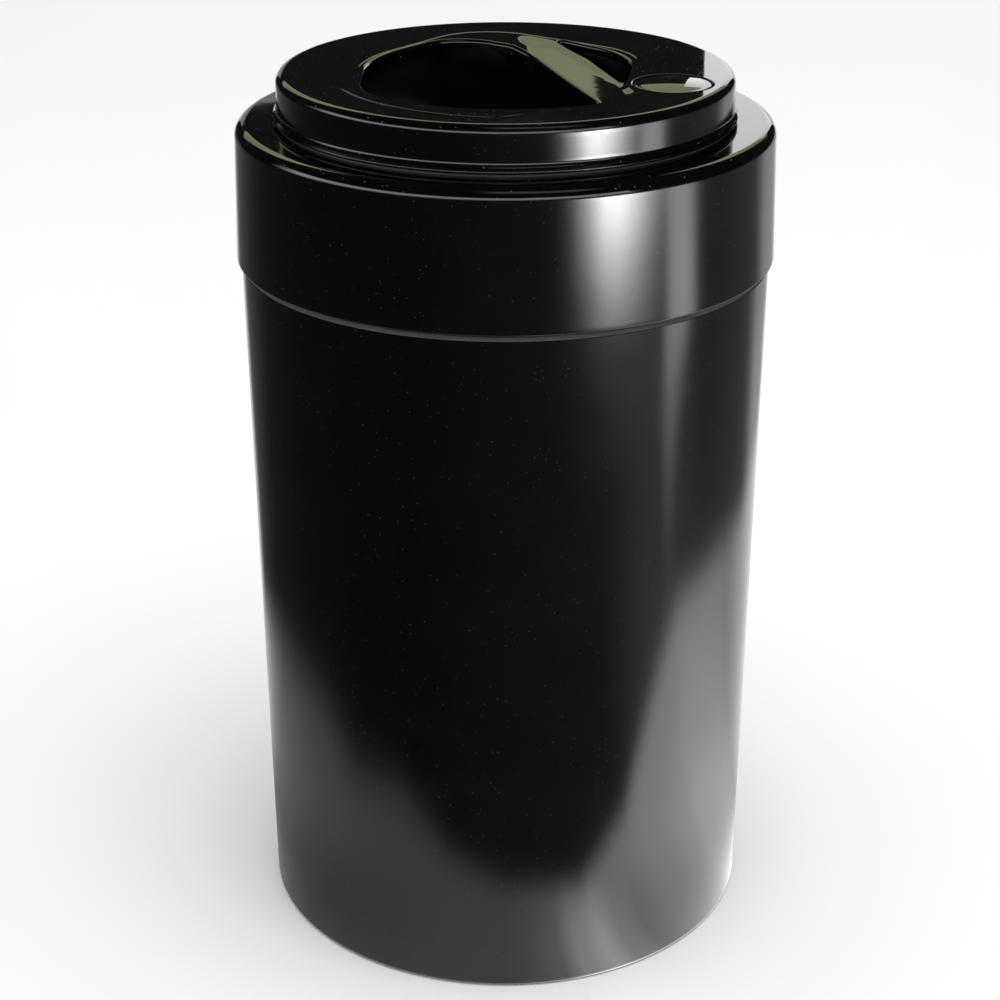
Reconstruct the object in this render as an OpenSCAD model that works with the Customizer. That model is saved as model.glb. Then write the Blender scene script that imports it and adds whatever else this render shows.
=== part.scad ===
// Round vacuum-sealing storage canister with a skirted lift-off lid.
// A finger bowl and a handle bar are let into the lid's upper tier, and a push button opens the
// lid's air valve. The origin is the centre of the base, +Z is up and the front faces -Y.

/* [Canister] */
// Height of the whole closed canister
total_h = 360; // [340:1:420]
// Outer radius of the wall just above the base
base_r = 102.8; // [101:0.1:104]
// Outer radius of the wall at the shoulder
shoulder_r = 106.1; // [105.5:0.1:106.6]
// Thickness of the canister's wall
wall_t = 2.6; // [2:0.1:3]
// Thickness of the canister's floor
floor_t = 3.4; // [2.5:0.1:5]
// Radius of the rounding where the wall meets the base
base_round = 2.4; // [1.5:0.1:4]
// Height of the recess under the base
base_recess = 1.2; // [0.6:0.1:1.8]

/* [Neck] */
// Outer radius of the neck that the lid slides over
neck_r = 101.8; // [101:0.1:102]
// Inner radius of the neck, which is the canister's mouth
mouth_r = 98.8; // [98:0.1:99]
// Height of the satin chamfer on the shoulder
chamfer_h = 1.5; // [1:0.1:2]
// Height of each sealing lip
seal_h = 4; // [3:0.5:5]

/* [Lid] */
// Outer radius of the skirt at its lower edge
skirt_r = 108; // [107.8:0.1:110]
// Outer radius of the skirt where its top rounding starts
skirt_top_r = 106.8; // [106.5:0.1:107.2]
// Height of the skirt
skirt_h = 54.3; // [50:0.1:56]
// Thickness of the lid's mouldings
lid_t = 3; // [2.6:0.1:3.2]
// Radius of the rounding at the top of the skirt
skirt_round = 4.8; // [3:0.1:5.5]

/* [Upper tier] */
// Outer radius of the upper tier
tier_r = 90; // [89:0.5:92]
// Height of the upper tier above the skirt's flat top
tier_h = 18.7; // [17:0.1:20]
// Radius of the rounding around the upper tier's top
tier_round = 3.5; // [2:0.1:4]
// How far the bead at the tier's foot stands out
bead_out = 1.4; // [0.8:0.1:2]
// Gap under the bead, which the tier gasket fills
shadow_gap = 1; // [0.6:0.1:1.5]

/* [Handle] */
// Depth of the finger bowl below the top
bowl_depth = 30; // [26:1:31]
// Width of the handle bar
bar_w = 17; // [15:0.5:18]
// Thickness of the handle bar
bar_t = 9; // [7:0.5:11]
// Depth of the shallow dish that the handle bar lies in
dish_depth = 4; // [3:0.5:5]

/* [Push button] */
// Distance of the button's centre to the right of the lid's centre
button_x = 64; // [63:0.5:64.5]
// Distance of the button's centre from the lid's centre, towards the front
button_y = -25; // [-26:0.5:-24]
// Radius of the button
button_r = 15; // [14:0.1:15.1]
// Gap between the button and its hole
button_gap = 0.45; // [0.3:0.05:0.6]
// Travel of the button
button_travel = 4; // [3:0.5:4]

/* [Hidden] */
$fn = 128;

// Heights of the levels, from the base up
deck_z = total_h - tier_h;              // flat top of the skirt
skirt_z = deck_z - skirt_h;             // lower edge of the skirt
shoulder_z = skirt_z - 1.2;             // top of the shoulder, just under the skirt
wall_top_z = shoulder_z - chamfer_h;    // top of the canister's wall
deck_under_z = deck_z - lid_t;
gasket_t = 2.4;
neck_top_z = deck_under_z - gasket_t - 0.3;
spigot_h = 9;

// Skirt
skirt_in_bottom_r = skirt_r - 3.1;
skirt_in_top_r = 103.8;
deck_open_r = 81;

// Sealing lips: each sits in a groove and reaches almost to the skirt
seal_groove = 1.2;
seal_gap = 0.25;
seal_lower_z = shoulder_z + 12;
seal_upper_z = neck_top_z - 12;

// Upper tier
tier_t = 3;
tier_in_r = tier_r - 2.8;
tier_foot_z = deck_z + shadow_gap;
plate_z = total_h - tier_t;             // underside of the tier's top plate
boss_r = 3.1;
boss_ring_r = 84;
boss_angles = [for (k = [0:5]) 15 + 60 * k];

// Screws
screw_r = 1.45;
screw_hole_r = 1.6;
head_r = 3;
head_h = 1.8;

// Handle: the bar's two edges run parallel, leaning to the left towards the back
bar_angle = 109.5;
bar_x = 26;                             // where the bar's centre line crosses the X axis
dish_r = 64;                            // radius of the crease around the shallow dish
dish_sphere_r = (dish_r * dish_r + dish_depth * dish_depth) / (2 * dish_depth);
right_pocket_r = 53.4;
right_pocket_y = 4.6;
bowl_x = -4;
bowl_y = -4;
bowl_r = 67;
bowl_t = 2.2;
bowl_button_gap = 17.6;                 // the bowl's wall keeps this far from the button's axis

// Outline of the large finger pocket, clockwise from the bar's front end
left_pocket = [[33, -44], [26, -25], [15, 6], [1, 42], [-8, 54], [-19, 57], [-31, 53], [-43, 40],
               [-53, 20], [-56, 0], [-55, -20], [-50, -39], [-39, -54], [-22, -62], [-4, -64],
               [14, -60], [28, -53]];

// Push button and valve
hole_r = button_r + button_gap;
cap_top_z = total_h + 0.5;
cap_h = 3.6;
cup_r = 17;
cup_floor_z = 352;                      // floor of the cup that the button sinks into
well_r = 7.6;
well_wall = 2.4;
well_z = 344;                           // the spring stands here
guide_t = 2.6;
stem_r = 2.5;
stem_gap = 0.06;
lip_h = 0.8;
seat_z = well_z - guide_t - lip_h;      // sealing edge under the valve housing
disc_t = 2;
disc_r = 9.2;
disc_z = seat_z - 0.1 - disc_t;
carrier_t = 1.8;
carrier_z = disc_z - carrier_t;
clip_t = 1.2;
clip_z = carrier_z - clip_t;
spring_wire_r = 0.55;
spring_r = 6.2;
spring_turns = 4;
ear_gap = 21;                           // distance of the housing's ears from the button's axis
button_turn = atan2(button_y, button_x);
ear_t = 2.5;
ear_z = cup_floor_z - ear_t;

// Inner cover
cover_r = 96.6;
cover_t = 2.2;
cover_z = 321.4;
post_r = 3.4;
post_ring_r = 90;
post_angles = [for (k = [0:3]) 90 * k];

// Point at parameter t of a smooth curve between p1 and p2, drawn through its neighbours too
function smooth_point(p0, p1, p2, p3, t) =
    0.5 * (2 * p1 + (p2 - p0) * t + (2 * p0 - 5 * p1 + 4 * p2 - p3) * t * t
           + (3 * p1 - p0 - 3 * p2 + p3) * t * t * t);

// Closed smooth outline through the points, with the given number of steps between them
function smooth_loop(pts, steps) = let (n = len(pts))
    [for (i = [0:n - 1]) for (s = [0:steps - 1])
        smooth_point(pts[(i + n - 1) % n], pts[i], pts[(i + 1) % n], pts[(i + 2) % n], s / steps)];

// Points along an arc
function arc(cx, cy, r, a0, a1, steps) =
    [for (i = [0:steps]) let (a = a0 + (a1 - a0) * i / steps) [cx + r * cos(a), cy + r * sin(a)]];

function skirt_in_r(z) =
    skirt_in_bottom_r + (skirt_in_top_r - skirt_in_bottom_r) * (z - skirt_z) / (deck_under_z - skirt_z);

module at_button() { translate([button_x, button_y, 0]) children(); }

module around(angles, r) { for (a = angles) rotate(a) translate([r, 0, 0]) children(); }

module at_ears() { at_button() rotate(button_turn) for (s = [-1, 1]) translate([0, s * ear_gap, 0]) children(); }

module ring(r_out, r_in, z0, h) {
    translate([0, 0, z0]) difference() {
        cylinder(r = r_out, h = h);
        translate([0, 0, -1]) cylinder(r = r_in, h = h + 2);
    }
}

// Pan-head screw with its head's underside at z = 0 and its shank going up
module screw_up(length) {
    cylinder(r = screw_r, h = length);
    difference() {
        translate([0, 0, -head_h]) cylinder(r1 = head_r - 0.5, r2 = head_r, h = head_h);
        for (a = [0, 90]) rotate(a) translate([-1.8, -0.35, -head_h - 1]) cube([3.6, 0.7, 1.9]);
    }
}

// ---- canister ----

module canister_body() {
    in_bottom_r = base_r - wall_t;
    in_top_r = shoulder_r - wall_t;
    color("#0d0d0f") rotate_extrude() polygon(concat(
        [[0, base_recess], [base_r - 9, base_recess], [base_r - 9 + base_recess, 0]],
        arc(base_r - base_round, base_round, base_round, -90, 0, 6),
        [[shoulder_r, wall_top_z], [in_top_r, wall_top_z]],
        [[in_bottom_r, floor_t + 6]],
        arc(in_bottom_r - 6, floor_t + 6, 6, -10, -90, 6),
        [[0, floor_t]]));
}

module neck_ring() {
    spigot_r = shoulder_r - wall_t - 0.15;
    color("#3a3a3c") rotate_extrude() polygon([
        [mouth_r + 0.6, wall_top_z - spigot_h], [spigot_r - 0.8, wall_top_z - spigot_h],
        [spigot_r, wall_top_z], [shoulder_r, wall_top_z],
        [shoulder_r - chamfer_h, shoulder_z], [neck_r, shoulder_z],
        [neck_r, seal_lower_z], [neck_r - seal_groove, seal_lower_z],
        [neck_r - seal_groove, seal_lower_z + seal_h], [neck_r, seal_lower_z + seal_h],
        [neck_r, seal_upper_z], [neck_r - seal_groove, seal_upper_z],
        [neck_r - seal_groove, seal_upper_z + seal_h], [neck_r, seal_upper_z + seal_h],
        [neck_r, neck_top_z - 0.8], [neck_r - 0.8, neck_top_z],
        [mouth_r + 0.8, neck_top_z], [mouth_r, neck_top_z - 0.8],
        [mouth_r, wall_top_z - spigot_h + 2]]);
}

// Silicone ring with two lips, standing in its groove
module neck_seal(z) {
    back_r = neck_r - seal_groove + 0.02;
    lip_r = skirt_in_r(z + seal_h) - seal_gap;
    color("#55575a") rotate_extrude() polygon([
        [back_r, z + 0.1], [neck_r + 0.2, z + 0.1], [lip_r, z + 0.7], [lip_r, z + 1.3],
        [neck_r + 0.6, z + 1.7], [neck_r + 0.6, z + seal_h - 1.7],
        [lip_r, z + seal_h - 1.3], [lip_r, z + seal_h - 0.7],
        [neck_r + 0.2, z + seal_h - 0.1], [back_r, z + seal_h - 0.1]]);
}

module neck_seal_lower() { neck_seal(seal_lower_z); }

module neck_seal_upper() { neck_seal(seal_upper_z); }

// ---- lid ----

module lid_shell() {
    color("#0d0d0f") difference() {
        union() {
            rotate_extrude() polygon(concat(
                [[deck_open_r, deck_z], [deck_open_r, deck_under_z], [skirt_in_top_r, deck_under_z],
                 [skirt_in_bottom_r, skirt_z + 0.6], [skirt_in_bottom_r + 0.6, skirt_z],
                 [skirt_r - 0.6, skirt_z], [skirt_r, skirt_z + 0.6]],
                arc(skirt_top_r - skirt_round, deck_z - skirt_round, skirt_round, 2, 90, 10)));
            around(post_angles, post_ring_r)
                translate([0, 0, cover_z + cover_t]) cylinder(r = post_r, h = deck_under_z - cover_z - cover_t + 1);
            ring(tier_in_r - 0.4, tier_in_r - 2, deck_z - 1, 5);
        }
        around(boss_angles, boss_ring_r) translate([0, 0, deck_under_z - 1]) cylinder(r = screw_hole_r, h = lid_t + 2);
        around(boss_angles, boss_ring_r) translate([0, 0, deck_z]) cylinder(r = boss_r + 0.3, h = 6);
        around(post_angles, post_ring_r) translate([0, 0, cover_z]) cylinder(r = screw_hole_r, h = 14);
    }
}

module rim_gasket() {
    color("#55575a") ring(skirt_in_top_r - 0.4, mouth_r - 0.9, deck_under_z - gasket_t, gasket_t);
}

module tier_gasket() {
    color("#1a1a1a") ring(tier_r - 0.2, tier_in_r + 0.1, deck_z, shadow_gap);
}

// Top plate and side wall of the upper tier, with the bead at the wall's foot
module tier_skin() {
    cove = 2.6;
    rotate_extrude() polygon(concat(
        [[0, plate_z], [tier_in_r - 2, plate_z], [tier_in_r, plate_z - 2], [tier_in_r, tier_foot_z],
         [tier_r + bead_out - 0.6, tier_foot_z], [tier_r + bead_out, tier_foot_z + 0.6],
         [tier_r + bead_out, tier_foot_z + 1.2], [tier_r + bead_out - 0.5, tier_foot_z + 1.7]],
        arc(tier_r + cove, tier_foot_z + 1.9 + cove, cove, 245, 180, 5),
        arc(tier_r - tier_round, total_h - tier_round, tier_round, 0, 90, 8),
        [[0, total_h]]));
}

// The strip of the plane that the handle bar covers, and the part of the plane to its right
module bar_strip() {
    translate([bar_x, 0]) rotate(bar_angle) translate([-100, -bar_w / 2]) square([200, bar_w]);
}

module right_of_bar() {
    translate([bar_x, 0]) rotate(bar_angle) translate([-100, -bar_w / 2 - 150]) square([200, 150]);
}

// The bar's outline under the plate, inside the bowl and clear of the wall around the button
module bar_2d() {
    difference() {
        intersection() {
            bar_strip();
            circle(r = dish_r - 5);
            translate([bowl_x, bowl_y]) circle(r = bowl_r - bowl_t - 4);
        }
        translate([button_x, button_y]) circle(r = bowl_button_gap + bowl_t + 0.3);
    }
}

// The small thumb pocket: a crescent to the right of the bar
module right_pocket_2d() {
    difference() {
        intersection() {
            translate([0, right_pocket_y]) circle(r = right_pocket_r);
            right_of_bar();
        }
        translate([button_x, button_y]) circle(r = bowl_button_gap + bowl_t + 0.3);
    }
}

module tier_cover() {
    color("#0a0a0b") difference() {
        union() {
            tier_skin();
            translate([0, 0, total_h - bar_t - dish_depth / 2]) linear_extrude(bar_t) bar_2d();
            around(boss_angles, boss_ring_r) translate([0, 0, deck_z]) cylinder(r = boss_r, h = plate_z - deck_z + 1);
            at_ears() translate([0, 0, ear_z + ear_t]) cylinder(r = boss_r, h = plate_z - ear_z - ear_t + 1);
        }
        translate([0, 0, total_h + dish_sphere_r - dish_depth]) sphere(r = dish_sphere_r, $fn = 360);
        translate([0, 0, total_h - 20]) linear_extrude(30) polygon(smooth_loop(left_pocket, 4));
        translate([0, 0, total_h - 20]) linear_extrude(30) right_pocket_2d();
        at_button() translate([0, 0, plate_z - 1]) cylinder(r = hole_r, h = tier_t + 2);
        around(boss_angles, boss_ring_r) translate([0, 0, deck_z - 1]) cylinder(r = screw_hole_r, h = 12);
        at_ears() translate([0, 0, ear_z]) cylinder(r = screw_hole_r, h = 8);
    }
}

module tier_screws() {
    color("#b8babd") around(boss_angles, boss_ring_r) translate([0, 0, deck_under_z - 0.02]) screw_up(11);
}

// Solid bowl shape of the given size, kept clear of the push button
module bowl_solid(shrink, depth) {
    r = bowl_r - shrink;
    difference() {
        translate([bowl_x, bowl_y, 0]) rotate_extrude() polygon(concat(
            [[0, plate_z + shrink], [r, plate_z + shrink]],
            [for (a = [0:6:84]) [r * cos(a), plate_z - (depth - tier_t) * sin(a)]],
            [[0, plate_z - (depth - tier_t)]]));
        at_button() translate([0, 0, total_h - 60]) cylinder(r = bowl_button_gap + shrink, h = 80);
    }
}

module finger_bowl() {
    color("#0a0a0b") difference() {
        bowl_solid(0, bowl_depth + bowl_t);
        bowl_solid(bowl_t, bowl_depth);
    }
}

// ---- valve ----

module valve_housing() {
    well_out_r = well_r + well_wall;
    color("#1c1c1e") difference() {
        union() {
            at_button() {
                translate([0, 0, cup_floor_z - 2]) cylinder(r = cup_r, h = plate_z - cup_floor_z + 2);
                translate([0, 0, well_z - guide_t]) cylinder(r = well_out_r, h = cup_floor_z - well_z + guide_t);
                translate([0, 0, seat_z]) cylinder(r = disc_r - 0.8, h = 2);
                rotate(button_turn) translate([0, 0, ear_z])
                    for (s = [-1, 1]) {
                        translate([0, s * ear_gap, 0]) cylinder(r = 4, h = ear_t);
                        translate([-3, s > 0 ? 12 : -ear_gap, 0]) cube([6, ear_gap - 12, ear_t]);
                    }
            }
        }
        at_button() {
            translate([0, 0, cup_floor_z]) cylinder(r = hole_r, h = 10);
            translate([0, 0, well_z]) cylinder(r = well_r, h = 20);
            translate([0, 0, seat_z - 1]) cylinder(r = disc_r - 2, h = lip_h + 1);
            translate([0, 0, seat_z - 1]) cylinder(r = stem_r + stem_gap, h = 20);
            for (a = [0:60:300]) rotate(a) translate([5, 0, seat_z - 1]) cylinder(r = 1.1, h = 20);
            // groove for the gasket in the cup's upper edge
            ring(cup_r - 0.4, hole_r + 0.4, plate_z - 0.8, 2);
        }
        at_ears() translate([0, 0, ear_z - 1]) cylinder(r = screw_hole_r + 0.1, h = ear_t + 2);
    }
}

module housing_gasket() {
    color("#55575a") at_button() ring(cup_r - 0.45, hole_r + 0.45, plate_z - 0.8, 0.8);
}

module housing_screws() {
    color("#b8babd") at_ears() translate([0, 0, ear_z - 0.02]) screw_up(7);
}

module button_cap() {
    dimple_r = 70;
    color("#0a0a0b") at_button() difference() {
        rotate_extrude() polygon(concat(
            [[0, cap_top_z - 2.2], [button_r - 1.8, cap_top_z - 2.2], [button_r - 1.8, cap_top_z - cap_h],
             [button_r, cap_top_z - cap_h]],
            arc(button_r - 0.9, cap_top_z - 0.9, 0.9, 0, 90, 4),
            [[0, cap_top_z]]));
        translate([0, 0, cap_top_z + dimple_r - 0.8]) sphere(r = dimple_r, $fn = 180);
    }
}

// Compression spring as one round wire swept along a helix
module button_spring() {
    z0 = well_z + spring_wire_r + 0.05;
    h = cap_top_z - 2.2 - 0.05 - spring_wire_r - z0;
    steps = 22 * spring_turns;
    sides = 8;
    pts = [for (i = [0:steps]) let (a = 360 * spring_turns * i / steps, z = z0 + h * i / steps)
        for (k = [0:sides - 1]) let (b = 360 * k / sides, r = spring_r + spring_wire_r * cos(b))
            [r * cos(a), r * sin(a), z + spring_wire_r * sin(b)]];
    faces = concat(
        [[for (k = [0:sides - 1]) k]],
        [for (i = [0:steps - 1]) for (k = [0:sides - 1]) let (n = (k + 1) % sides)
            [i * sides + n, i * sides + k, (i + 1) * sides + k, (i + 1) * sides + n]],
        [[for (k = [sides - 1:-1:0]) steps * sides + k]]);
    color("#c9ccd0") at_button() polyhedron(points = pts, faces = faces);
}

module valve_stem() {
    neck_h = 0.7;
    color("#c8c8c4") at_button() difference() {
        union() {
            translate([0, 0, clip_z - 1.2]) cylinder(r = stem_r, h = cap_top_z - 2.2 - clip_z + 1.2);
            translate([0, 0, cap_top_z - 4]) cylinder(r = 4.4, h = 1.8);
        }
        ring(stem_r + 1, stem_r - 0.6, clip_z + 0.25, neck_h);
    }
}

module disc_carrier() {
    color("#c8c8c4") at_button() ring(disc_r - 0.4, stem_r + 0.02, carrier_z, carrier_t);
}

module valve_disc() {
    color("#8b3a2e") at_button() ring(disc_r, stem_r + 0.02, disc_z, disc_t);
}

// Spring clip with an open side, in the stem's groove
module stem_clip() {
    color("#b8babd") at_button() difference() {
        ring(4.6, stem_r - 0.55, clip_z + 0.3, 0.6);
        translate([0, -1.4, clip_z]) cube([6, 2.8, clip_t]);
    }
}

// ---- inner cover ----

module inner_cover() {
    color("#1c1c1e") difference() {
        rotate_extrude() polygon(concat(
            [[0, cover_z]],
            arc(cover_r - 2, cover_z + 2, 2, -90, 0, 4),
            [[cover_r, deck_under_z], [cover_r - cover_t, deck_under_z],
             [cover_r - cover_t, cover_z + cover_t], [0, cover_z + cover_t]]));
        around(post_angles, post_ring_r) translate([0, 0, cover_z - 1]) cylinder(r = screw_hole_r + 0.1, h = cover_t + 2);
        at_button() for (i = [-2:2], j = [-2:2]) translate([i * 5, j * 5, cover_z - 1])
            cylinder(r = 1.4, h = cover_t + 2, $fn = 24);
    }
}

module cover_screws() {
    color("#b8babd") around(post_angles, post_ring_r) translate([0, 0, cover_z - 0.02]) screw_up(12);
}

canister_body();
neck_ring();
neck_seal_lower();
neck_seal_upper();
lid_shell();
rim_gasket();
tier_cover();
tier_gasket();
tier_screws();
finger_bowl();
valve_housing();
housing_gasket();
housing_screws();
inner_cover();
cover_screws();
button_cap();
button_spring();
valve_stem();
disc_carrier();
valve_disc();
stem_clip();
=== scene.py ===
"""Looks of the round storage canister: gloss-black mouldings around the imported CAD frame, in metres.

The visible shells are turned or built here as finished meshes, and the inner parts keep their CAD
meshes with better materials. Reflection cards that only glossy rays see shape the highlights.
"""

import math

import bpy
import numpy as np
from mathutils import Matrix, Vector, geometry


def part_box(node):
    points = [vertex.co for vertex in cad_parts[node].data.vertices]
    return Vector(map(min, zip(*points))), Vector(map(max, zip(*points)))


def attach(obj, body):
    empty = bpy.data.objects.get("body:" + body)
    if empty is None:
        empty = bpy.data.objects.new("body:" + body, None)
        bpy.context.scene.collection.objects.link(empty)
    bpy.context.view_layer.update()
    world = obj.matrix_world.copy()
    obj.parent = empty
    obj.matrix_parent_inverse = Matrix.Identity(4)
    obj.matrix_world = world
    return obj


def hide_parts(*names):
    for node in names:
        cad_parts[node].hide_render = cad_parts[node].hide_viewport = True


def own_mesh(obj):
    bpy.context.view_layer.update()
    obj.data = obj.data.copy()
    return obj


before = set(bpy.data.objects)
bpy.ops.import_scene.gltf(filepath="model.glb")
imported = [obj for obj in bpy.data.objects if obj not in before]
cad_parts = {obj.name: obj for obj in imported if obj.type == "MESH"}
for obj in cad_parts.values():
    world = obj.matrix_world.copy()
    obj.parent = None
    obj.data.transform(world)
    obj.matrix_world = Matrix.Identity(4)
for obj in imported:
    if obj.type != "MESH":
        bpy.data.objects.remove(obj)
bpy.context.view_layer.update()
scene = bpy.context.scene

MM = 0.001

# ---- sizes, from the frame ----

body_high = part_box("canister_body")[1]
ring_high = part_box("neck_ring")[1]
skirt_low, skirt_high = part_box("lid_shell")
gap_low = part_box("tier_gasket")[0]
tier_low, tier_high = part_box("tier_cover")
bowl_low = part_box("finger_bowl")[0]
cap_low, cap_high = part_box("button_cap")

TOP_Z = tier_high[2]
BEAD_R = tier_high[0]
TIER_R = BEAD_R - 1.4 * MM
TIER_ROUND = 3.5 * MM
TIER_FLAT_R = TIER_R - TIER_ROUND
FOOT_Z = tier_low[2] + 1.0 * MM
DECK_Z = gap_low[2]
SKIRT_R = skirt_high[0]
SKIRT_Z = skirt_low[2]
SKIRT_TOP_R = SKIRT_R - 1.2 * MM
SKIRT_ROUND = 4.8 * MM
WALL_TOP_Z = body_high[2]
SHOULDER_R = body_high[0]
BASE_R = SHOULDER_R - 3.3 * MM
CHAMFER = 1.5 * MM
SHOULDER_Z = WALL_TOP_Z + CHAMFER
NECK_TOP_Z = ring_high[2]
NECK_R = SHOULDER_R - 4.3 * MM
MOUTH_R = SHOULDER_R - 7.3 * MM
CAP_X = (cap_low[0] + cap_high[0]) / 2
CAP_Y = (cap_low[1] + cap_high[1]) / 2
CAP_R = (cap_high[0] - cap_low[0]) / 2
HOLE_R = CAP_R + 0.45 * MM
BOWL_FLOOR_Z = bowl_low[2] + 2.2 * MM

TURN_STEPS = 288

# ---- helpers: meshes ----


def arc(cx, cy, r, a0, a1, steps):
    """Points along an arc, angles in degrees."""
    angles = np.radians(np.linspace(a0, a1, steps + 1))
    return [(cx + r * math.cos(a), cy + r * math.sin(a)) for a in angles]


def rounded(corners, pitch=1.3):
    """Closed outline of straight legs joined by arcs; each corner is (x, y, radius)."""
    arcs = []
    for i, (x, y, radius) in enumerate(corners):
        corner = np.array((x, y), float)
        to_last = np.array(corners[i - 1][:2]) - corner
        to_next = np.array(corners[(i + 1) % len(corners)][:2]) - corner
        to_last /= np.linalg.norm(to_last)
        to_next /= np.linalg.norm(to_next)
        half = math.acos(np.dot(to_last, to_next)) / 2
        middle = (to_last + to_next) / np.linalg.norm(to_last + to_next)
        centre = corner + middle * radius / math.sin(half)
        first = corner + to_last * radius / math.tan(half) - centre
        last = corner + to_next * radius / math.tan(half) - centre
        a0 = math.atan2(first[1], first[0])
        sweep = (math.atan2(last[1], last[0]) - a0 + math.pi) % (2 * math.pi) - math.pi
        angles = a0 + sweep * np.linspace(0, 1, max(4, round(abs(sweep) * radius / pitch)) + 1)
        arcs.append(centre + radius * np.stack([np.cos(angles), np.sin(angles)], 1))
    out = []
    for here, following in zip(arcs, arcs[1:] + arcs[:1]):
        leg = following[0] - here[-1]
        t = np.linspace(0, 1, max(1, round(np.linalg.norm(leg) / pitch)) + 1)[1:-1, None]
        out += [here, here[-1] + leg * t]
    return np.concatenate(out)


def circle(radius, steps, centre=(0, 0)):
    """Points round a circle as an array of x, y rows."""
    turn = np.linspace(0, 2 * math.pi, steps, endpoint=False)
    return np.stack([np.cos(turn), np.sin(turn)], 1) * radius + centre


def loop_normals(loop):
    """Unit normals of a closed outline that runs anticlockwise, pointing outwards."""
    t = np.roll(loop, -1, 0) - np.roll(loop, 1, 0)
    n = np.stack([t[:, 1], -t[:, 0]], 1)
    return n / np.linalg.norm(n, axis=1)[:, None]


def step(v, low, high):
    """Smooth rise from 0 to 1 between two values."""
    t = np.clip((v - low) / (high - low), 0, 1)
    return t * t * (3 - 2 * t)


def anticlockwise(loop):
    x, y = loop[:, 0], loop[:, 1]
    area = np.sum(x * np.roll(y, -1) - np.roll(x, -1) * y)
    return loop if area > 0 else loop[::-1]


def new_object(name, verts, faces, material, sharp=30):
    """A smooth-shaded mesh object whose edges over the sharp angle stay crisp."""
    mesh = bpy.data.meshes.new(name)
    mesh.from_pydata([tuple(map(float, v)) for v in verts], [], [tuple(map(int, f)) for f in faces])
    mesh.validate()
    mesh.shade_smooth()
    mesh.set_sharp_from_angle(angle=math.radians(sharp))
    mesh.materials.append(material)
    obj = bpy.data.objects.new(name, mesh)
    scene.collection.objects.link(obj)
    return obj


def weigh_normals(obj):
    """Keeps flat faces flat beside small roundings."""
    mod = obj.modifiers.new("weighted", "WEIGHTED_NORMAL")
    mod.keep_sharp = True
    return obj


def lathe(name, profile, material, closed=False, centre=(0, 0), steps=TURN_STEPS, sharp=30):
    """Turns a profile of (radius, height) points round the vertical axis through centre."""
    verts, rings, faces = [], [], []
    for r, z in profile:
        if r < 1e-7:
            rings.append([len(verts)] * steps)
            verts.append((centre[0], centre[1], z))
        else:
            rings.append(list(range(len(verts), len(verts) + steps)))
            for k in range(steps):
                a = 2 * math.pi * k / steps
                verts.append((centre[0] + r * math.cos(a), centre[1] + r * math.sin(a), z))
    pairs = list(zip(rings, rings[1:]))
    if closed:
        pairs.append((rings[-1], rings[0]))
    for low, high in pairs:
        for k in range(steps):
            n = (k + 1) % steps
            quad = []
            for v in (low[k], low[n], high[n], high[k]):
                if v not in quad:
                    quad.append(v)
            if len(quad) > 2:
                faces.append(quad)
    return weigh_normals(new_object(name, verts, faces, material, sharp))


# ---- helpers: materials ----


class Nodes:
    """Short way to build a node tree."""

    def __init__(self, name):
        self.material = bpy.data.materials.new(name)
        self.material.use_nodes = True
        self.tree = self.material.node_tree
        self.tree.nodes.clear()
        self.out = self.tree.nodes.new("ShaderNodeOutputMaterial")

    def add(self, kind, inputs=None, **settings):
        node = self.tree.nodes.new("ShaderNode" + kind)
        for key, value in settings.items():
            setattr(node, key, value)
        for key, value in (inputs or {}).items():
            self.put(node.inputs[key], value)
        return node

    def put(self, socket, value):
        if isinstance(value, bpy.types.NodeSocket):
            self.tree.links.new(value, socket)
        else:
            socket.default_value = value

    def math(self, operation, a, b=0.0, clamp=False):
        node = self.add("Math", {0: a, 1: b}, operation=operation, use_clamp=clamp)
        return node.outputs[0]

    def ramp(self, value, low, high, to_low=0.0, to_high=1.0):
        node = self.add("MapRange", {"Value": value, "From Min": low, "From Max": high,
                                     "To Min": to_low, "To Max": to_high},
                        interpolation_type="SMOOTHSTEP")
        return node.outputs[0]

    def mix(self, factor, a, b):
        node = self.add("Mix", {"Factor": factor, "A": a, "B": b}, data_type="RGBA")
        return node.outputs["Result"]

    def noise(self, where, scale, detail=2.0, roughness=0.5):
        node = self.add("TexNoise", {"Vector": where, "Scale": scale, "Detail": detail,
                                     "Roughness": roughness})
        return node.outputs["Fac"]


def stretched(n, x, y, z):
    """Object coordinates, scaled differently along each axis."""
    place = n.add("TexCoord").outputs["Object"]
    return n.add("Mapping", {"Vector": place, "Scale": (x, y, z)}).outputs["Vector"]


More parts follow.
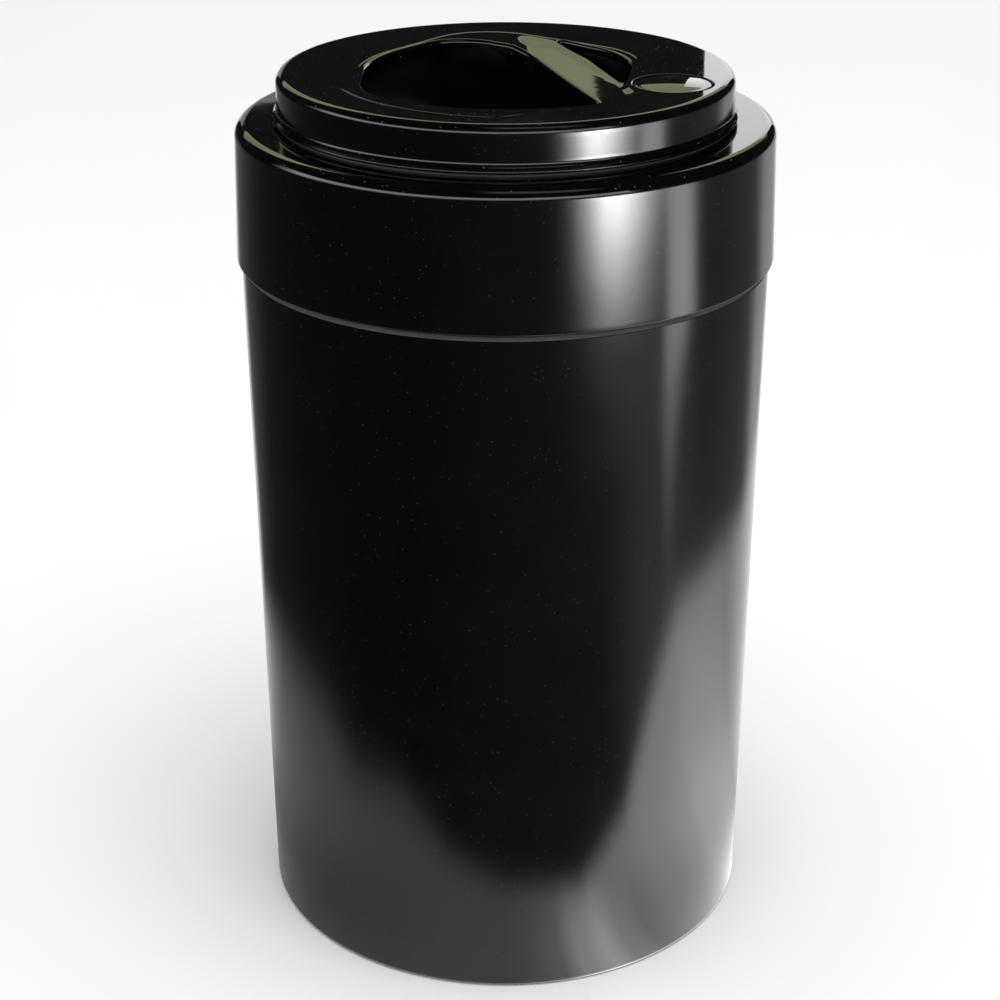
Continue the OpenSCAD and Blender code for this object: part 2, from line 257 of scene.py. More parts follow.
def plastic(name, colour, roughness, grain=0.0, dust=0.0, scratches=0.0, cloud=0.03, ior=1.5, mottle=0.2):
    """Injection-moulded plastic: uneven gloss, fine orange peel, hairline scratches and specks of dust."""
    n = Nodes(name)
    place = n.add("TexCoord").outputs["Object"]
    clouds = n.noise(place, 38, 4)
    fine = n.noise(place, 900, 3)
    base = n.mix(n.ramp(clouds, 0.3, 0.7), (*[c * (1 - mottle) for c in colour], 1),
                 (*[c * (1 + mottle) for c in colour], 1))
    rough = n.math("ADD", roughness, n.math("MULTIPLY", n.math("SUBTRACT", clouds, 0.5), cloud * 2))
    rough = n.math("ADD", rough, n.math("MULTIPLY", n.math("SUBTRACT", fine, 0.5), cloud))
    height = n.math("MULTIPLY", n.noise(place, 260, 2), 0.35)
    if grain:
        height = n.math("ADD", height, n.math("MULTIPLY", n.noise(place, 2600, 3), grain))
    if scratches:
        hair = n.noise(stretched(n, 2600, 2600, 60), 1.0, 1)
        hair2 = n.noise(stretched(n, 120, 2600, 1900), 1.0, 1)
        lines = n.math("MAXIMUM", n.ramp(hair, 0.66, 0.74), n.ramp(hair2, 0.67, 0.75))
        lines = n.math("MULTIPLY", lines, n.ramp(clouds, 0.45, 0.7))
        rough = n.math("ADD", rough, n.math("MULTIPLY", lines, scratches))
        height = n.math("SUBTRACT", height, n.math("MULTIPLY", lines, scratches * 2))
    if dust:
        cells = n.add("TexVoronoi", {"Vector": place, "Scale": 330.0, "Randomness": 1.0})
        speck = n.ramp(cells.outputs["Distance"], 0.085, 0.05)
        cells2 = n.add("TexVoronoi", {"Vector": place, "Scale": 1300.0, "Randomness": 1.0})
        fleck = n.ramp(cells2.outputs["Distance"], 0.12, 0.07)
        fleck = n.math("MULTIPLY", fleck, n.ramp(clouds, 0.36, 0.58, 0.05, 0.45))
        both = n.math("MAXIMUM", speck, fleck)
        both = n.math("MULTIPLY", both, dust)
        base = n.mix(both, base, (0.36, 0.36, 0.37, 1))
        rough = n.math("ADD", rough, n.math("MULTIPLY", both, 0.5))
        height = n.math("ADD", height, both)
    bump = n.add("Bump", {"Height": height, "Strength": 0.06, "Distance": 0.0002})
    shader = n.add("BsdfPrincipled", {"Base Color": base, "Roughness": rough, "IOR": ior,
                                      "Normal": bump.outputs[0]})
    n.put(n.out.inputs["Surface"], shader.outputs[0])
    return n.material


def silicone(name, colour):
    n = Nodes(name)
    place = n.add("TexCoord").outputs["Object"]
    clouds = n.noise(place, 60, 4)
    base = n.mix(clouds, (*[c * 0.75 for c in colour], 1), (*[c * 1.3 for c in colour], 1))
    rough = n.ramp(n.noise(place, 500, 3), 0.2, 0.8, 0.42, 0.62)
    bump = n.add("Bump", {"Height": n.noise(place, 1800, 3), "Strength": 0.15, "Distance": 0.0002})
    shader = n.add("BsdfPrincipled", {"Base Color": base, "Roughness": rough, "IOR": 1.41,
                                      "Normal": bump.outputs[0]})
    n.put(n.out.inputs["Surface"], shader.outputs[0])
    return n.material


def steel(name):
    n = Nodes(name)
    brushed = n.noise(stretched(n, 1500, 1500, 150), 1.0, 3)
    base = n.mix(brushed, (0.48, 0.48, 0.5, 1), (0.66, 0.66, 0.68, 1))
    rough = n.ramp(brushed, 0.2, 0.8, 0.22, 0.38)
    bump = n.add("Bump", {"Height": brushed, "Strength": 0.1, "Distance": 0.0001})
    shader = n.add("BsdfPrincipled", {"Base Color": base, "Metallic": 1.0, "Roughness": rough,
                                      "Normal": bump.outputs[0]})
    n.put(n.out.inputs["Surface"], shader.outputs[0])
    return n.material


# Base colours are linear; jet is a deep black whose looks come from its gloss
JET = (0.0011, 0.0011, 0.0012)
mirror_black = plastic("mirror_black", JET, 0.03, dust=0.42, scratches=0.05, cloud=0.01)
side_black = plastic("side_black", JET, 0.15, grain=0.25, dust=0.12, scratches=0.10, cloud=0.03)
bowl_black = plastic("bowl_black", JET, 0.36, dust=0.1, scratches=0.05, cloud=0.04, ior=1.33)
inner_black = plastic("inner_black", (0.012, 0.012, 0.013), 0.34, grain=0.5, cloud=0.05)
# Satin finish for the shoulder ledge and neck. Its grey, far lighter than the black plastic, is painted light
# that stands in for light falling on the ledge
ledge_satin_and_painted_light = plastic("ledge_satin_and_painted_light", (0.11, 0.11, 0.112), 0.36, grain=0.6, scratches=0.04, cloud=0.015,
                      mottle=0.06)
valve_white = plastic("valve_white", (0.55, 0.55, 0.52), 0.4, grain=0.3, cloud=0.05)
seal_grey = silicone("seal_grey", (0.06, 0.06, 0.063))
disc_red = silicone("disc_red", (0.30, 0.06, 0.04))
plain_steel = steel("plain_steel")

# ---- CAD nodes that stay, with their finished materials ----

for names, material in (
    (("neck_seal_lower", "neck_seal_upper", "rim_gasket", "tier_gasket", "housing_gasket"), seal_grey),
    (("inner_cover", "valve_housing"), inner_black),
    (("valve_stem", "disc_carrier"), valve_white),
    (("valve_disc",), disc_red),
    (("tier_screws", "housing_screws", "cover_screws", "stem_clip"), plain_steel),
):
    for name in names:
        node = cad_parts[name]
        node.data.materials.clear()
        node.data.materials.append(material)

# ---- canister ----


def make_canister():
    wall = 2.6 * MM
    base_round = 2.4 * MM
    inner_round = 6 * MM
    floor_z = 3.4 * MM
    inner_r = BASE_R - wall
    foot_in = BASE_R - 9 * MM
    profile = [(0, 1.6 * MM), (12 * MM, 1.6 * MM), (13 * MM, 1.2 * MM), (60 * MM, 1.2 * MM),
               (60.8 * MM, 1.7 * MM), (62.2 * MM, 1.7 * MM), (63 * MM, 1.2 * MM), (foot_in, 1.2 * MM)]
    profile += arc(foot_in + 1.2 * MM, 1.2 * MM, 1.2 * MM, 180, 270, 5)
    profile += arc(BASE_R - base_round, base_round, base_round, -90, -0.7, 10)
    profile += [(BASE_R + (SHOULDER_R - BASE_R) * t, base_round + (WALL_TOP_Z - base_round) * t)
                for t in np.linspace(0.02, 0.996, 40)]
    profile += [(SHOULDER_R, WALL_TOP_Z - 0.15 * MM), (SHOULDER_R - 0.15 * MM, WALL_TOP_Z),
                (SHOULDER_R - wall, WALL_TOP_Z)]
    profile += arc(inner_r - inner_round, floor_z + inner_round, inner_round, -5, -90, 8)
    profile += [(0, floor_z)]
    piece = lathe("canister_wall", profile, side_black)
    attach(piece, "canister")
    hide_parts("canister_body")


def make_neck():
    groove = 1.2 * MM
    seal_h = 4 * MM
    low, high = SHOULDER_Z + 12 * MM, NECK_TOP_Z - 12 * MM
    spigot = SHOULDER_R - 2.75 * MM
    z0 = WALL_TOP_Z - 9 * MM
    ease = 0.25 * MM
    outer = [(spigot - 0.8 * MM, z0), (spigot, WALL_TOP_Z), (SHOULDER_R - ease, WALL_TOP_Z + 0.02 * MM),
             (SHOULDER_R, WALL_TOP_Z + ease)]
    outer += [(SHOULDER_R - CHAMFER + ease, SHOULDER_Z - 0.1 * MM), (SHOULDER_R - CHAMFER - ease, SHOULDER_Z)]
    outer += arc(NECK_R + 1 * MM, SHOULDER_Z + 1 * MM, 1 * MM, 270, 180, 4)
    lip = 0.2 * MM
    for z in (low, high):
        outer += [(NECK_R, z - lip), (NECK_R - lip, z), (NECK_R - groove, z), (NECK_R - groove, z + seal_h),
                  (NECK_R - lip, z + seal_h), (NECK_R, z + seal_h + lip)]
    outer += arc(NECK_R - 0.9 * MM, NECK_TOP_Z - 0.9 * MM, 0.9 * MM, 0, 90, 5)
    outer += arc(MOUTH_R + 0.9 * MM, NECK_TOP_Z - 0.9 * MM, 0.9 * MM, 90, 180, 5)
    outer += [(MOUTH_R, z0 + 2 * MM), (MOUTH_R + 0.6 * MM, z0)]
    # the ledge and neck take the satin grey whose lightness is painted light on the black shoulder
    piece = lathe("shoulder_and_neck", outer, ledge_satin_and_painted_light, closed=True)
    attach(piece, "canister")
    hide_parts("neck_ring")


def make_skirt():
    edge = 0.6 * MM
    inner_bottom = SKIRT_R - 3.1 * MM
    inner_top = SHOULDER_R - 2.3 * MM
    under_z = DECK_Z - 3 * MM
    opening = 81 * MM
    profile = [(opening, under_z), (inner_top - 1 * MM, under_z)]
    profile += arc(inner_top - 1 * MM, under_z - 1 * MM, 1 * MM, 90, 0, 4)
    profile += [(inner_bottom - 0.02 * MM, SKIRT_Z + edge)]
    profile += arc(inner_bottom + edge, SKIRT_Z + edge, edge, 180, 270, 4)
    profile += arc(SKIRT_R - edge, SKIRT_Z + edge, edge, 270, 360, 5)
    z1 = DECK_Z - SKIRT_ROUND
    profile += [(SKIRT_R + (SKIRT_TOP_R - SKIRT_R) * t, SKIRT_Z + edge + (z1 - SKIRT_Z - edge) * t)
                for t in np.linspace(0.03, 0.97, 16)]
    profile += arc(SKIRT_TOP_R - SKIRT_ROUND, DECK_Z - SKIRT_ROUND, SKIRT_ROUND, 1.4, 90, 20)
    profile += [(97 * MM, DECK_Z), (opening, DECK_Z)]
    piece = lathe("lid_skirt", profile, side_black, closed=True)
    piece.data.materials.append(mirror_black)
    for face in piece.data.polygons:
        if face.normal.z > 0.35:
            face.material_index = 1
    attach(piece, "lid")
    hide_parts("lid_shell")


# ---- upper tier: plate with the dish, the handle bar and two pockets ----

# Corners in millimetres, x to the right and y to the back, each with its radius
CREASE = [(-58.5, 17, 60), (-12.5, 78.5, 26), (56, 28.5, 34), (46.5, -30, 20), (49, -40.5, 6),
          (32, -59.5, 26), (-4, -69.5, 80), (-46, -52.5, 34), (-58.5, -30, 50)]
LEFT_POCKET = [(36, -54, 3.5), (34.5, -41, 60), (11, 37, 30), (-21.5, 62, 20), (-56, 19, 60),
               (-56, -31, 40), (-45.5, -50, 34), (-14.5, -64.5, 45), (10, -64, 70)]
RIGHT_POCKET = [(46, -27, 1.5), (53.5, 24.5, 46), (17.5, 58, 2.2), (33, 18.5, 60)]
BAR_CENTRE_X = 26.0
BAR_DIRECTION = math.radians(109.5)
BAR_WIDTH = 17.0
CREASE_STEP = 0.14
BAR_DIP = 1.2
BAR_HALF_LENGTH = 62
BAR_LEAN = 0.085
BAR_BOW = 0.0015
PLATE_T = 3.4
BAR_HANG = 6.2


def across_bar(x, y):
    """Distance in mm from the bar's right edge towards the large pocket."""
    nx, ny = -math.sin(BAR_DIRECTION), math.cos(BAR_DIRECTION)
    return (x - BAR_CENTRE_X) * nx + y * ny + BAR_WIDTH / 2


def distance_to(loop, x, y):
    """Shortest distance from points to a closed outline."""
    p = np.stack([np.ravel(x), np.ravel(y)], 1)
    a, b = loop, np.roll(loop, -1, 0)
    d = b - a
    t = np.clip(np.einsum("pij,ij->pi", p[:, None] - a[None], d) / np.sum(d * d, 1), 0, 1)
    near = a[None] + t[..., None] * d[None]
    return np.sqrt(((p[:, None] - near) ** 2).sum(2)).min(1)


def inside(loop, x, y):
    """Which points lie inside a closed outline."""
    x, y = np.ravel(x)[:, None], np.ravel(y)[:, None]
    ax, ay = loop[:, 0][None], loop[:, 1][None]
    bx, by = np.roll(loop[:, 0], -1)[None], np.roll(loop[:, 1], -1)[None]
    crosses = (ay > y) != (by > y)
    at = ax + (y - ay) * (bx - ax) / np.where(by == ay, 1e-9, by - ay)
    return (np.sum(crosses & (x < at), 1) % 2) == 1


crease = anticlockwise(rounded(CREASE))
left_edge = anticlockwise(rounded(LEFT_POCKET))
right_edge = anticlockwise(rounded(RIGHT_POCKET))


def along_bar(x, y):
    """Distance in mm along the bar, 0 at its middle, towards the back."""
    return x * math.cos(BAR_DIRECTION) + y * math.sin(BAR_DIRECTION)


def top_drop(x, y):
    """How far, in mm, the top surface lies below the flat plate.

    It steps down at the crease, and the bar dips between its ends and leans towards the large pocket.
    """
    x, y = np.ravel(x), np.ravel(y)
    d = np.where(inside(crease, x, y), distance_to(crease, x, y), 0)
    v = across_bar(x, y)
    u = along_bar(x, y)
    w = np.clip(v + 2, 0, 26)
    hollow = BAR_DIP * (1 - (u / BAR_HALF_LENGTH) ** 2) + BAR_LEAN * w + BAR_BOW * w * w
    reach = 2.5 + 10 * step(u, -20, 20)
    return CREASE_STEP * step(d, 0.1, 0.9) + hollow * step(d, 0, reach) * step(v, -7, 1) * step(x, 2, 12.5)


def bar_depth(x, y):
    """How far, in mm, the bar hangs below the plate; it swells smoothly between its two ends."""
    v = across_bar(x, y)
    wide = np.clip(1 - np.maximum(np.abs(v - BAR_WIDTH / 2) - BAR_WIDTH / 2 - 1, 0) / 3, 0, 1)
    long = np.clip((52 - abs(along_bar(x, y) + 2)) / 14, 0, 1)
    return BAR_HANG * wide * wide * (3 - 2 * wide) * long * long * (3 - 2 * long)


def top_normals(x, y):
    """Unit normals of the top surface."""
    e = 0.05
    gx = (top_drop(x + e, y) - top_drop(x - e, y)) / (2 * e)
    gy = (top_drop(x, y + e) - top_drop(x, y - e)) / (2 * e)
    n = np.stack([gx, gy, np.ones(len(gx))], 1)
    return n / np.linalg.norm(n, axis=1)[:, None]


def tier_grid(left, right):
    """Points in mm that fill the flat top between its outlines."""
    grid_pitch, clear = 1.6, 0.9
    gx, gy = np.meshgrid(np.arange(-60, 61, grid_pitch), np.arange(-68, 69, grid_pitch))
    gx[1::2] += grid_pitch / 2
    gx, gy = gx.ravel(), gy.ravel()
    keep = inside(crease, gx, gy) & (distance_to(crease, gx, gy) > clear)
    for loop in (left, right):
        keep &= ~inside(loop, gx, gy) & (distance_to(loop, gx, gy) > clear)
    grid = [np.stack([gx[keep], gy[keep]], 1)]
    for inset in (0.45, 0.9, 1.4, 2.1):
        ring = crease - loop_normals(crease) * inset
        keep = np.ones(len(ring), bool)
        for loop in (left, right):
            keep &= ~inside(loop, *ring.T) & (distance_to(loop, *ring.T) > 0.35)
        grid.append(ring[keep])
    for inset in (0.6, 4):
        ring = circle(TIER_FLAT_R / MM - inset, TURN_STEPS // 2)
        keep = np.hypot(ring[:, 0] - CAP_X / MM, ring[:, 1] - CAP_Y / MM) > HOLE_R / MM + 1.5
        grid.append(ring[keep])
    return np.concatenate(grid)


def triangulate(loops, grid, openings):
    """Triangles that face up, over everything inside the rim except the openings.

    Returns the points in mm, the triangles, and for each outline the numbers of its points.
    """
    points, edges, start = [], [], {}
    for key, loop in loops.items():
        start[key] = len(points)
        points += [Vector(p) for p in loop]
        edges += [(start[key] + i, start[key] + (i + 1) % len(loop)) for i in range(len(loop))]
    points += [Vector(p) for p in grid]
    found = geometry.delaunay_2d_cdt(points, edges, [], 0, 1e-6)
    flat = np.array([tuple(v) for v in found[0]])
    tris = np.array([f for f in found[2]])
    back = {}
    for new, old in enumerate(found[3]):
        for o in old:
            back[o] = new
    mid = flat[tris].mean(1)
    keep = np.hypot(mid[:, 0], mid[:, 1]) < TIER_FLAT_R / MM
    for key in openings:
        keep &= ~inside(loops[key], mid[:, 0], mid[:, 1])
    tris = tris[keep]
    p, q, r = flat[tris[:, 0]], flat[tris[:, 1]], flat[tris[:, 2]]
    turned = (q[:, 0] - p[:, 0]) * (r[:, 1] - p[:, 1]) - (q[:, 1] - p[:, 1]) * (r[:, 0] - p[:, 0]) < 0
    tris[turned] = tris[turned][:, ::-1]
    numbers = {key: [back[start[key] + i] for i in range(len(loop))] for key, loop in loops.items()}
    return flat, tris, numbers


def make_tier():
    """The plate and bar as one triangulated top with rounded openings, sides and an underside."""
    r_left, r_right = 1.5, 1.2
    hole_steps, hole_ease = 96, 0.6
    left = left_edge + loop_normals(left_edge) * 0.8
    right = right_edge + loop_normals(right_edge) * 0.4
    turn = np.linspace(0, 2 * math.pi, TURN_STEPS, endpoint=False)
    hole_turn = np.linspace(0, 2 * math.pi, hole_steps, endpoint=False)
    loops = {"rim": circle(TIER_FLAT_R / MM, TURN_STEPS), "crease": crease, "left": left, "right": right,
             "hole": circle(HOLE_R / MM + hole_ease, hole_steps, (CAP_X / MM, CAP_Y / MM))}
    flat, tris, numbers = triangulate(loops, tier_grid(left, right), ("left", "right", "hole"))

    drop = top_drop(flat[:, 0], flat[:, 1])
    verts = [(x * MM, y * MM, TOP_Z - d * MM) for (x, y), d in zip(flat, drop)]
    faces = [tuple(t) for t in tris]
    under = {}

    def add_ring(coords):
        first = len(verts)
        verts.extend(coords)
        return list(range(first, first + len(coords)))

    def bridge(upper, lower):
        for i in range(len(upper)):
            n = (i + 1) % len(upper)
            faces.append((upper[i], upper[n], lower[n], lower[i]))

    plate_under = TOP_Z - PLATE_T * MM

    for key, radius in (("left", r_left), ("right", r_right)):
        loop = loops[key]
        inward = -loop_normals(loop)
        ids = numbers[key]
        upper = ids
        for angle in np.radians([15, 30, 45, 60, 75, 90]):
            ring = []
            for i, p in enumerate(loop):
                q = p + inward[i] * radius * math.sin(angle)
                ring.append((q[0] * MM, q[1] * MM, verts[ids[i]][2] - radius * (1 - math.cos(angle)) * MM))
            ring = add_ring(ring)
            bridge(upper, ring)
            upper = ring
        lower = []
        for i, p in enumerate(loop):
            q = p + inward[i] * radius
            floor = min(plate_under - bar_depth(*q) * MM, verts[ids[i]][2] - (radius + 0.9) * MM)
            lower.append((q[0] * MM, q[1] * MM, floor))
        for t in (0.5, 1.0):
            ring = add_ring([(a[0], a[1], verts[u][2] * (1 - t) + a[2] * t) for a, u in zip(lower, upper)]
                            if t < 1 else lower)
            bridge(upper, ring)
            upper = ring
        for i, v in enumerate(ids):
            under[v] = upper[i]

    # button hole: an eased edge, then a straight wall
    ids = numbers["hole"]
    upper = ids
    for out, down in ((0.42, 0.08), (0.18, 0.27), (0.0, 0.6), (0.0, 3.2)):
        ring = []
        for a in hole_turn:
            r = HOLE_R + out * MM
            ring.append((CAP_X + r * math.cos(a), CAP_Y + r * math.sin(a), TOP_Z - down * MM))
        ring = add_ring(ring)
        bridge(upper, ring)
        upper = ring
    for i, v in enumerate(ids):
        under[v] = upper[i]

    # outer side: rounding, wall, cove, bead and inner wall
    cove = 2.6 * MM
    cove_z = FOOT_Z + 1.9 * MM + cove
    profile = arc(TIER_FLAT_R, TOP_Z - TIER_ROUND, TIER_ROUND, 90, 0, 16)[1:]
    profile += [(TIER_R, z) for z in np.linspace(TOP_Z - TIER_ROUND - 1.5 * MM, cove_z + 1 * MM, 5)]
    profile += arc(TIER_R + cove, cove_z, cove, 180, 240, 8)
    profile += arc(BEAD_R - 0.75 * MM, FOOT_Z + 0.85 * MM, 0.75 * MM, 75, -70, 10)
    profile += [(TIER_R - 2.6 * MM, FOOT_Z), (TIER_R - 2.8 * MM, FOOT_Z + 0.2 * MM),
                (TIER_R - 2.8 * MM, plate_under - 2 * MM), (TIER_R - 4.2 * MM, plate_under)]
    ids = numbers["rim"]
    upper = ids
    for r, z in profile:
        ring = add_ring([(r * math.cos(a), r * math.sin(a), z) for a in turn])
        # runs the other way round than a hole
        for i in range(TURN_STEPS):
            n = (i + 1) % TURN_STEPS
            faces.append((upper[n], upper[i], ring[i], ring[n]))
        upper = ring
    for i, v in enumerate(ids):
        under[v] = upper[i]

    for v in range(len(flat)):
        if v not in under:
            x, y = flat[v]
            under[v] = len(verts)
            low = min(plate_under - bar_depth(x, y) * MM, verts[v][2] - 2.2 * MM)
            verts.append((x * MM, y * MM, low))
    faces += [(under[a], under[c], under[b]) for a, b, c in tris]

    piece = new_object("tier_and_handle_bar", verts, faces, mirror_black, sharp=17)
    set_top_normals(piece.data, flat)
    piece.data.materials.append(side_black)
    for face in piece.data.polygons:
        if abs(face.normal.z) < 0.5 and np.hypot(face.center.x, face.center.y) > TIER_R - 1 * MM:
            face.material_index = 1
    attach(piece, "lid")
    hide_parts("tier_cover")


def set_top_normals(mesh, flat):
    """Exact normals for every corner that touches the top surface, so that its reflections stay clean."""
    normals = np.array([tuple(n.vector) for n in mesh.corner_normals])
    corner_vertex = np.empty(len(mesh.loops), int)
    mesh.loops.foreach_get("vertex_index", corner_vertex)
    sizes = np.array([len(f.vertices) for f in mesh.polygons])
    centres = np.array([tuple(f.center) for f in mesh.polygons])
    corner_face = np.repeat(np.arange(len(sizes)), sizes)
    up = np.array([f.normal.z for f in mesh.polygons]) > 0
    on_top = (corner_vertex < len(flat)) & up[corner_face]
    corners = np.flatnonzero(on_top)
    place = flat[corner_vertex[corners]]
    top_face = sizes[corner_face[corners]] == 3
    pull = np.where(top_face, 0.12, -0.05)[:, None]
    place = place + (centres[corner_face[corners], :2] / MM - place) * pull
    normals[corners] = top_normals(place[:, 0], place[:, 1])
    mesh.normals_split_custom_set(normals)


def make_bowl():
    outline = crease - loop_normals(crease) * 1.0
    centre = np.array([-3.0, -4.0])
    top_z = TOP_Z - 3.2 * MM
    depth = top_z - BOWL_FLOOR_Z
    verts, faces, rings = [], [], []
    angles = np.radians(np.linspace(0, 88, 34))
    for a in angles:
        rings.append(len(verts))
        shrink = math.cos(a) ** 0.85
        for p in centre + (outline - centre) * shrink:
            verts.append((p[0] * MM, p[1] * MM, top_z - depth * math.sin(a)))
    count = len(outline)
    for low, high in zip(rings, rings[1:]):
        faces += [(low + i, low + (i + 1) % count, high + (i + 1) % count, high + i) for i in range(count)]
    verts.append((centre[0] * MM, centre[1] * MM, BOWL_FLOOR_Z))
    faces += [(rings[-1] + i, rings[-1] + (i + 1) % count, len(verts) - 1) for i in range(count)]
    faces = [f[::-1] for f in faces]
    piece = new_object("finger_bowl_shell", verts, faces, bowl_black, sharp=60)
    for face in piece.data.polygons:
        if face.normal.z < 0:
            face.flip()
    shell = piece.modifiers.new("thickness", "SOLIDIFY")
    shell.thickness = 1.8 * MM
    shell.offset = -1
    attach(piece, "lid")
    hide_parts("finger_bowl")


def make_button():
    dome = 0.7 * MM
    top = cap_high[2] - dome
    under = top - 2.2 * MM
    bottom = cap_low[2]
    wall = 1.8 * MM
    lip = 0.15 * MM
    ease = 0.9 * MM
    edge_r = CAP_R - ease
    profile = [(0, under), (CAP_R - wall, under), (CAP_R - wall, bottom + lip),
               (CAP_R - wall + lip, bottom), (CAP_R - lip, bottom), (CAP_R, bottom + lip)]
    profile += arc(edge_r, top - ease, ease, 0, 90, 9)
    flat_r = edge_r - 0.9 * MM
    profile += [(flat_r * t, top + dome * (1 - t * t)) for t in np.linspace(1, 0, 22)]
    piece = lathe("push_button", profile, mirror_black, centre=(CAP_X, CAP_Y), steps=128)
    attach(piece, "button")
    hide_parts("button_cap")


def make_spring():
    """Coil spring under the button, with closed ends."""
    low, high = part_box("button_spring")
    wire = 0.55 * MM
    radius = (high[0] - low[0]) / 2 - wire
    foot, rise = low[2] + wire, high[2] - low[2] - 2 * wire
    turns, sides = 6, 10
    count = 40 * turns
    verts, faces = [], []
    for i in range(count + 1):
        t = i / count
        open_part = min(max((t - 1 / turns) / (1 - 2 / turns), 0), 1)
        closed_part = 2.1 * wire * (min(t * turns, 1) + min(max(t * turns - turns + 1, 0), 1))
        z = foot + open_part * (rise - 4.2 * wire) + closed_part
        turn = 2 * math.pi * turns * t
        for k in range(sides):
            a = 2 * math.pi * k / sides
            r = radius + wire * math.cos(a)
            verts.append((CAP_X + r * math.cos(turn), CAP_Y + r * math.sin(turn), z + wire * math.sin(a)))
    for i in range(count):
        for k in range(sides):
            n = (k + 1) % sides
            faces.append((i * sides + k, (i + 1) * sides + k, (i + 1) * sides + n, i * sides + n))
    faces += [tuple(range(sides)), tuple(range(count * sides, (count + 1) * sides))[::-1]]
    piece = new_object("coil_spring", verts, faces, plain_steel, sharp=60)
    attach(piece, "lid")
    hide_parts("button_spring")
    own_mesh(piece)


def ridge(name, points, width, height, z):
    """A fine raised line on the plate, along points in millimetres."""
    p = np.array(points, float)
    t = np.gradient(p, axis=0)
    t /= np.linalg.norm(t, axis=1)[:, None]
    side = np.stack([-t[:, 1], t[:, 0]], 1)
    fade = np.clip(np.minimum(np.arange(len(p)), np.arange(len(p))[::-1]) / 3, 0.02, 1)
    section = [(-0.5, -0.1), (-0.36, 0.62), (0, 1), (0.36, 0.62), (0.5, -0.1)]
    verts, faces = [], []
    for i in range(len(p)):
        for across, up in section:
            q = p[i] + side[i] * across * width * fade[i]
            verts.append((q[0] * MM, q[1] * MM, z + up * height * fade[i] * MM))
    count = len(section)
    for i in range(len(p) - 1):
        for k in range(count):
            n = (k + 1) % count
            faces.append((i * count + k, i * count + n, (i + 1) * count + n, (i + 1) * count + k))
    faces += [tuple(range(count))[::-1], tuple(range((len(p) - 1) * count, len(p) * count))]
    piece = new_object(name, verts, faces, mirror_black, sharp=50)
    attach(piece, "lid")


def make_marks():
    """The plain moulded arc and tick near the front edge."""
    width, height = 0.9, 0.22
    turn = np.radians(np.linspace(-152, -93, 60))
    spiral = np.linspace(70.5, 78.3, 60)
    ridge("moulded_arc", np.stack([np.cos(turn) * spiral, np.sin(turn) * spiral], 1), width, height, TOP_Z)
    t = np.linspace(0, 1, 10)[:, None]
    first, last = np.array([[-3.5, -78.6]]), np.array([[7.0, -73.0]])
    ridge("moulded_tick", first * (1 - t) + last * t, width, height, TOP_Z)


make_canister()
make_neck()
make_skirt()
make_tier()
make_bowl()
make_button()
make_spring()
make_marks()

# ---- camera ----

CAMERA_PITCH = 23.75  # degrees down from level

camera_data = bpy.data.cameras.new("camera")
camera_data.sensor_width = 36
camera_data.lens = 81.26
camera_data.shift_x = -0.00545
camera = bpy.data.objects.new("camera", camera_data)
camera.location = (0, -0.878, 0.5615)
camera.rotation_euler = (math.radians(90 - CAMERA_PITCH), 0, 0)
scene.collection.objects.link(camera)
scene.camera = camera

# ---- floor and lights ----


def floor_material():
    n = Nodes("pale_floor")
    place = n.add("TexCoord").outputs["Object"]
    base = n.mix(n.noise(place, 3, 3), (0.86, 0.86, 0.86, 1), (0.89, 0.89, 0.89, 1))
    bump = n.add("Bump", {"Height": n.noise(place, 350, 4), "Strength": 0.05, "Distance": 0.0005})
    shader = n.add("BsdfPrincipled", {"Base Color": base, "Roughness": 0.85, "Specular IOR Level": 0.1,
                                      "Normal": bump.outputs[0]})
    n.put(n.out.inputs["Surface"], shader.outputs[0])
    return n.material


def only_glossy(obj):
    """Seen in reflections and nowhere else."""
    obj.visible_camera = False
    obj.visible_diffuse = False
    obj.visible_shadow = False
    obj.visible_transmission = False
    obj.visible_volume_scatter = False


def make_floor():
    half = 6
    floor = new_object("floor", [(-half, -half, 0), (half, -half, 0), (half, half, 0), (-half, half, 0)],
                       [(0, 1, 2, 3)], floor_material())
    floor.visible_glossy = False


def glow_material(name):
    n = Nodes(name)
    glow = n.add("Attribute", attribute_name="glow", attribute_type="GEOMETRY")
    light = n.add("Emission", {"Color": glow.outputs["Color"], "Strength": 1.0})
    n.put(n.out.inputs["Surface"], light.outputs[0])
    return n.material


def card(name, centre, across, up, glow, tint=(1, 1, 1), bent=False, cells=24):
    """A reflection card. glow(s, t) gives its brightness, s and t running from -1 to 1.

    A bent card curves round the vertical axis: across is then its radius and its two end turns.
    """
    s, t = np.meshgrid(np.linspace(-1, 1, cells + 1), np.linspace(-1, 1, cells + 1))
    s, t = s.ravel(), t.ravel()
    verts = np.array(centre) + t[:, None] * np.array(up)
    if bent:
        radius, first, last = across
        turn = np.radians(first + (last - first) * (s + 1) / 2)
        verts += radius * np.stack([np.sin(turn), -np.cos(turn), 0 * turn], 1)
    else:
        verts += s[:, None] * np.array(across)
    row = cells + 1
    faces = [(j * row + i, j * row + i + 1, (j + 1) * row + i + 1, (j + 1) * row + i)
             for j in range(cells) for i in range(cells)]
    obj = new_object(name, verts, faces, glow_material(name))
    paint(obj, np.outer(glow(s, t), tint))
    only_glossy(obj)


def paint(obj, level):
    """Stores a brightness or colour at each vertex, for glow_material."""
    level = np.asarray(level, float)
    rgba = np.ones((len(obj.data.vertices), 4), np.float32)
    rgba[:, :3] = level.reshape(len(rgba), -1)
    layer = obj.data.color_attributes.new("glow", "FLOAT_COLOR", "POINT")
    layer.data.foreach_set("color", rgba.ravel())


